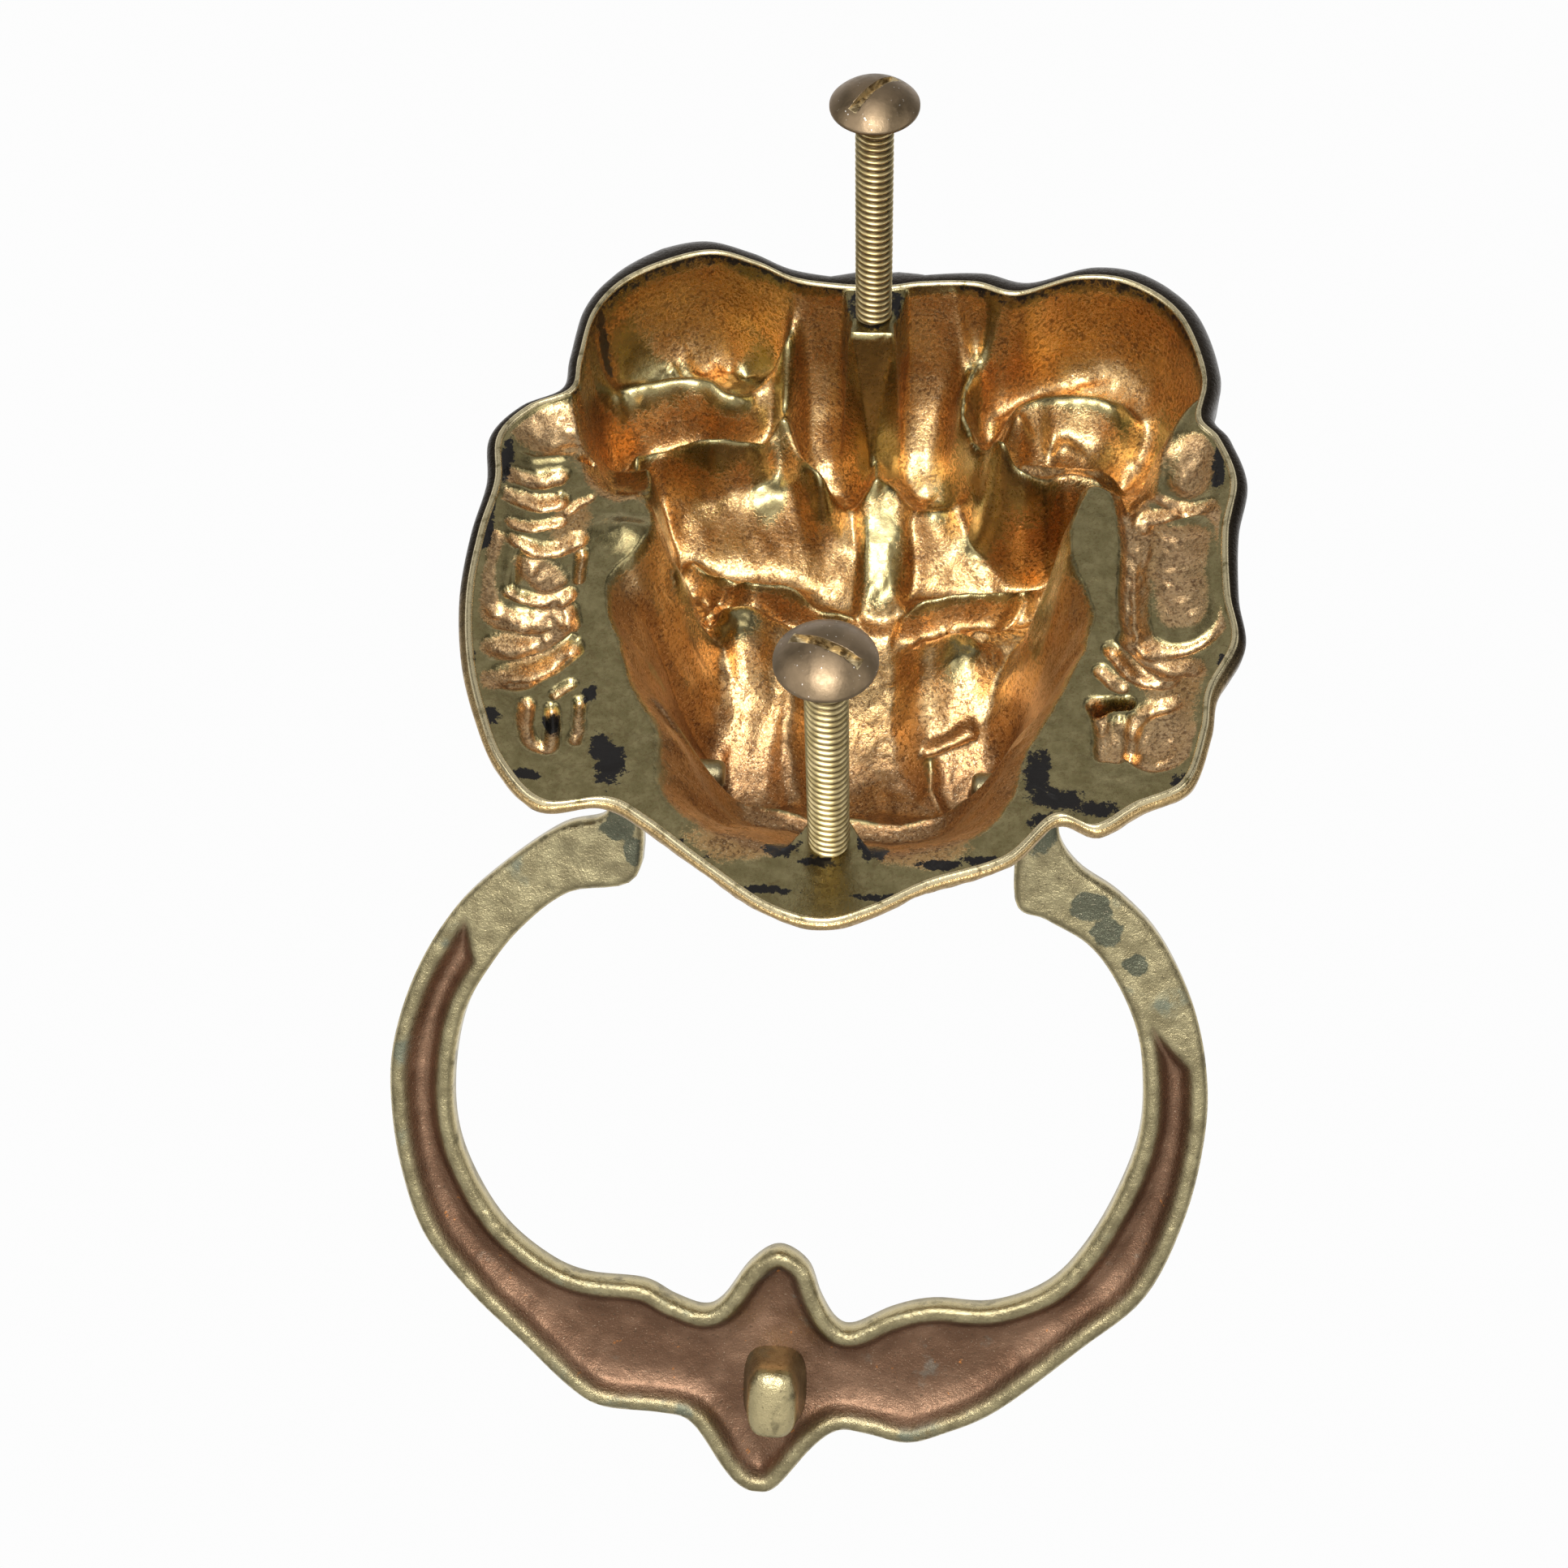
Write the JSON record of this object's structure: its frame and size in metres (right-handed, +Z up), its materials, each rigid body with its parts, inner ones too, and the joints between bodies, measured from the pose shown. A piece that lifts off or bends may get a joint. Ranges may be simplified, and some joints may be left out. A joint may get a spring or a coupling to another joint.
{
  "type": "door knocker",
  "caption": "Cast brass lion's head door knocker: hollow-backed head, swinging bail with a striker nub, and two slotted mushroom-head fixing bolts.",
  "frame": {"origin": "centre of the head's back plane, midway between the axes of the two fixing bolts", "axes": "+Z up as mounted, +Y into the door along the fixing bolts, the lion looks along -Y; +X is on the viewer's right from the front"},
  "size_m": [0.1389, 0.1889, 0.1694],
  "materials": {
    "head_brass": "sand-cast brass, coppery and speckled inside the hollow, olive on the flats, with worn black lacquer outside and on the rim",
    "ring_brass": "aged cast brass with a bright worn edge, grey-green tarnish on the blades and a brown channel",
    "bolt_brass": "bronzed satin head with small chips, yellow brass thread"
  },
  "bodies": {
    "head": {"lion_head": "head_brass", "upper_bolt": "bolt_brass", "lower_bolt": "bolt_brass"},
    "ring": {"knocker_ring": "ring_brass"}
  },
  "joints": [
    {"name": "ring_swing", "type": "hinge", "parent": "head", "child": "ring", "pos_m": [0, -0.04, -0.0146], "axis": [-1, 0, 0], "range_deg": [-65, 84]}
  ]
}
